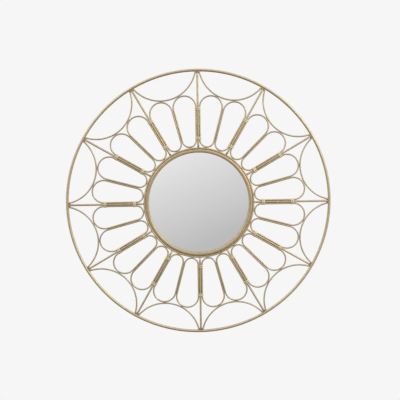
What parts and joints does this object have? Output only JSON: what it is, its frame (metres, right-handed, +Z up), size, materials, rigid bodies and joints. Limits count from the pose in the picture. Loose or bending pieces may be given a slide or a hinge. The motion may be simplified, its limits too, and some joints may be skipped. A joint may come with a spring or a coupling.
{
  "type": "wall mirror",
  "caption": "Round wall mirror set in a wheel of gilt wire: petal loops bound to straight spokes by wrapped collars, with arcs bridging the bays inside an outer hoop.",
  "frame": {"origin": "middle of the back board's rear face, on the wheel's axis, in the plane of the wall", "axes": "-Y out of the glass toward the viewer, +Z up along the top spoke, +X to the viewer's right"},
  "size_m": [0.8, 0.0215, 0.8],
  "materials": {
    "hoop": "satin gilt paint",
    "spokes": "satin gilt paint",
    "petals": "satin gilt paint",
    "scallops": "satin gilt paint",
    "ring_wire": "satin gilt paint",
    "bezel": "satin gilt paint",
    "glass": "clear silvered glass",
    "board": "dark stained fibreboard",
    "hanger": "zinc plated",
    "screws": "zinc plated"
  },
  "bodies": {
    "root": {"outer_hoop": "hoop", "spoke_01": "spokes", "spoke_02": "spokes", "spoke_03": "spokes", "spoke_04": "spokes", "spoke_05": "spokes", "spoke_06": "spokes", "spoke_07": "spokes", "spoke_08": "spokes", "spoke_09": "spokes", "spoke_10": "spokes", "spoke_11": "spokes", "spoke_12": "spokes", "petal_loop_01": "petals", "petal_loop_02": "petals", "petal_loop_03": "petals", "petal_loop_04": "petals", "petal_loop_05": "petals", "petal_loop_06": "petals", "petal_loop_07": "petals", "petal_loop_08": "petals", "petal_loop_09": "petals", "petal_loop_10": "petals", "petal_loop_11": "petals", "petal_loop_12": "petals", "petal_loop_13": "petals", "petal_loop_14": "petals", "petal_loop_15": "petals", "petal_loop_16": "petals", "petal_loop_17": "petals", "petal_loop_18": "petals", "petal_loop_19": "petals", "petal_loop_20": "petals", "petal_loop_21": "petals", "petal_loop_22": "petals", "petal_loop_23": "petals", "petal_loop_24": "petals", "scallop_arc_01": "scallops", "scallop_arc_02": "scallops", "scallop_arc_03": "scallops", "scallop_arc_04": "scallops", "scallop_arc_05": "scallops", "scallop_arc_06": "scallops", "scallop_arc_07": "scallops", "scallop_arc_08": "scallops", "scallop_arc_09": "scallops", "scallop_arc_10": "scallops", "scallop_arc_11": "scallops", "scallop_arc_12": "scallops", "inner_ring_wire": "ring_wire", "bezel": "bezel", "mirror_glass": "glass", "back_board": "board", "keyhole_hanger": "hanger", "hanger_screw_top": "screws", "hanger_screw_bottom": "screws"}
  },
  "joints": []
}
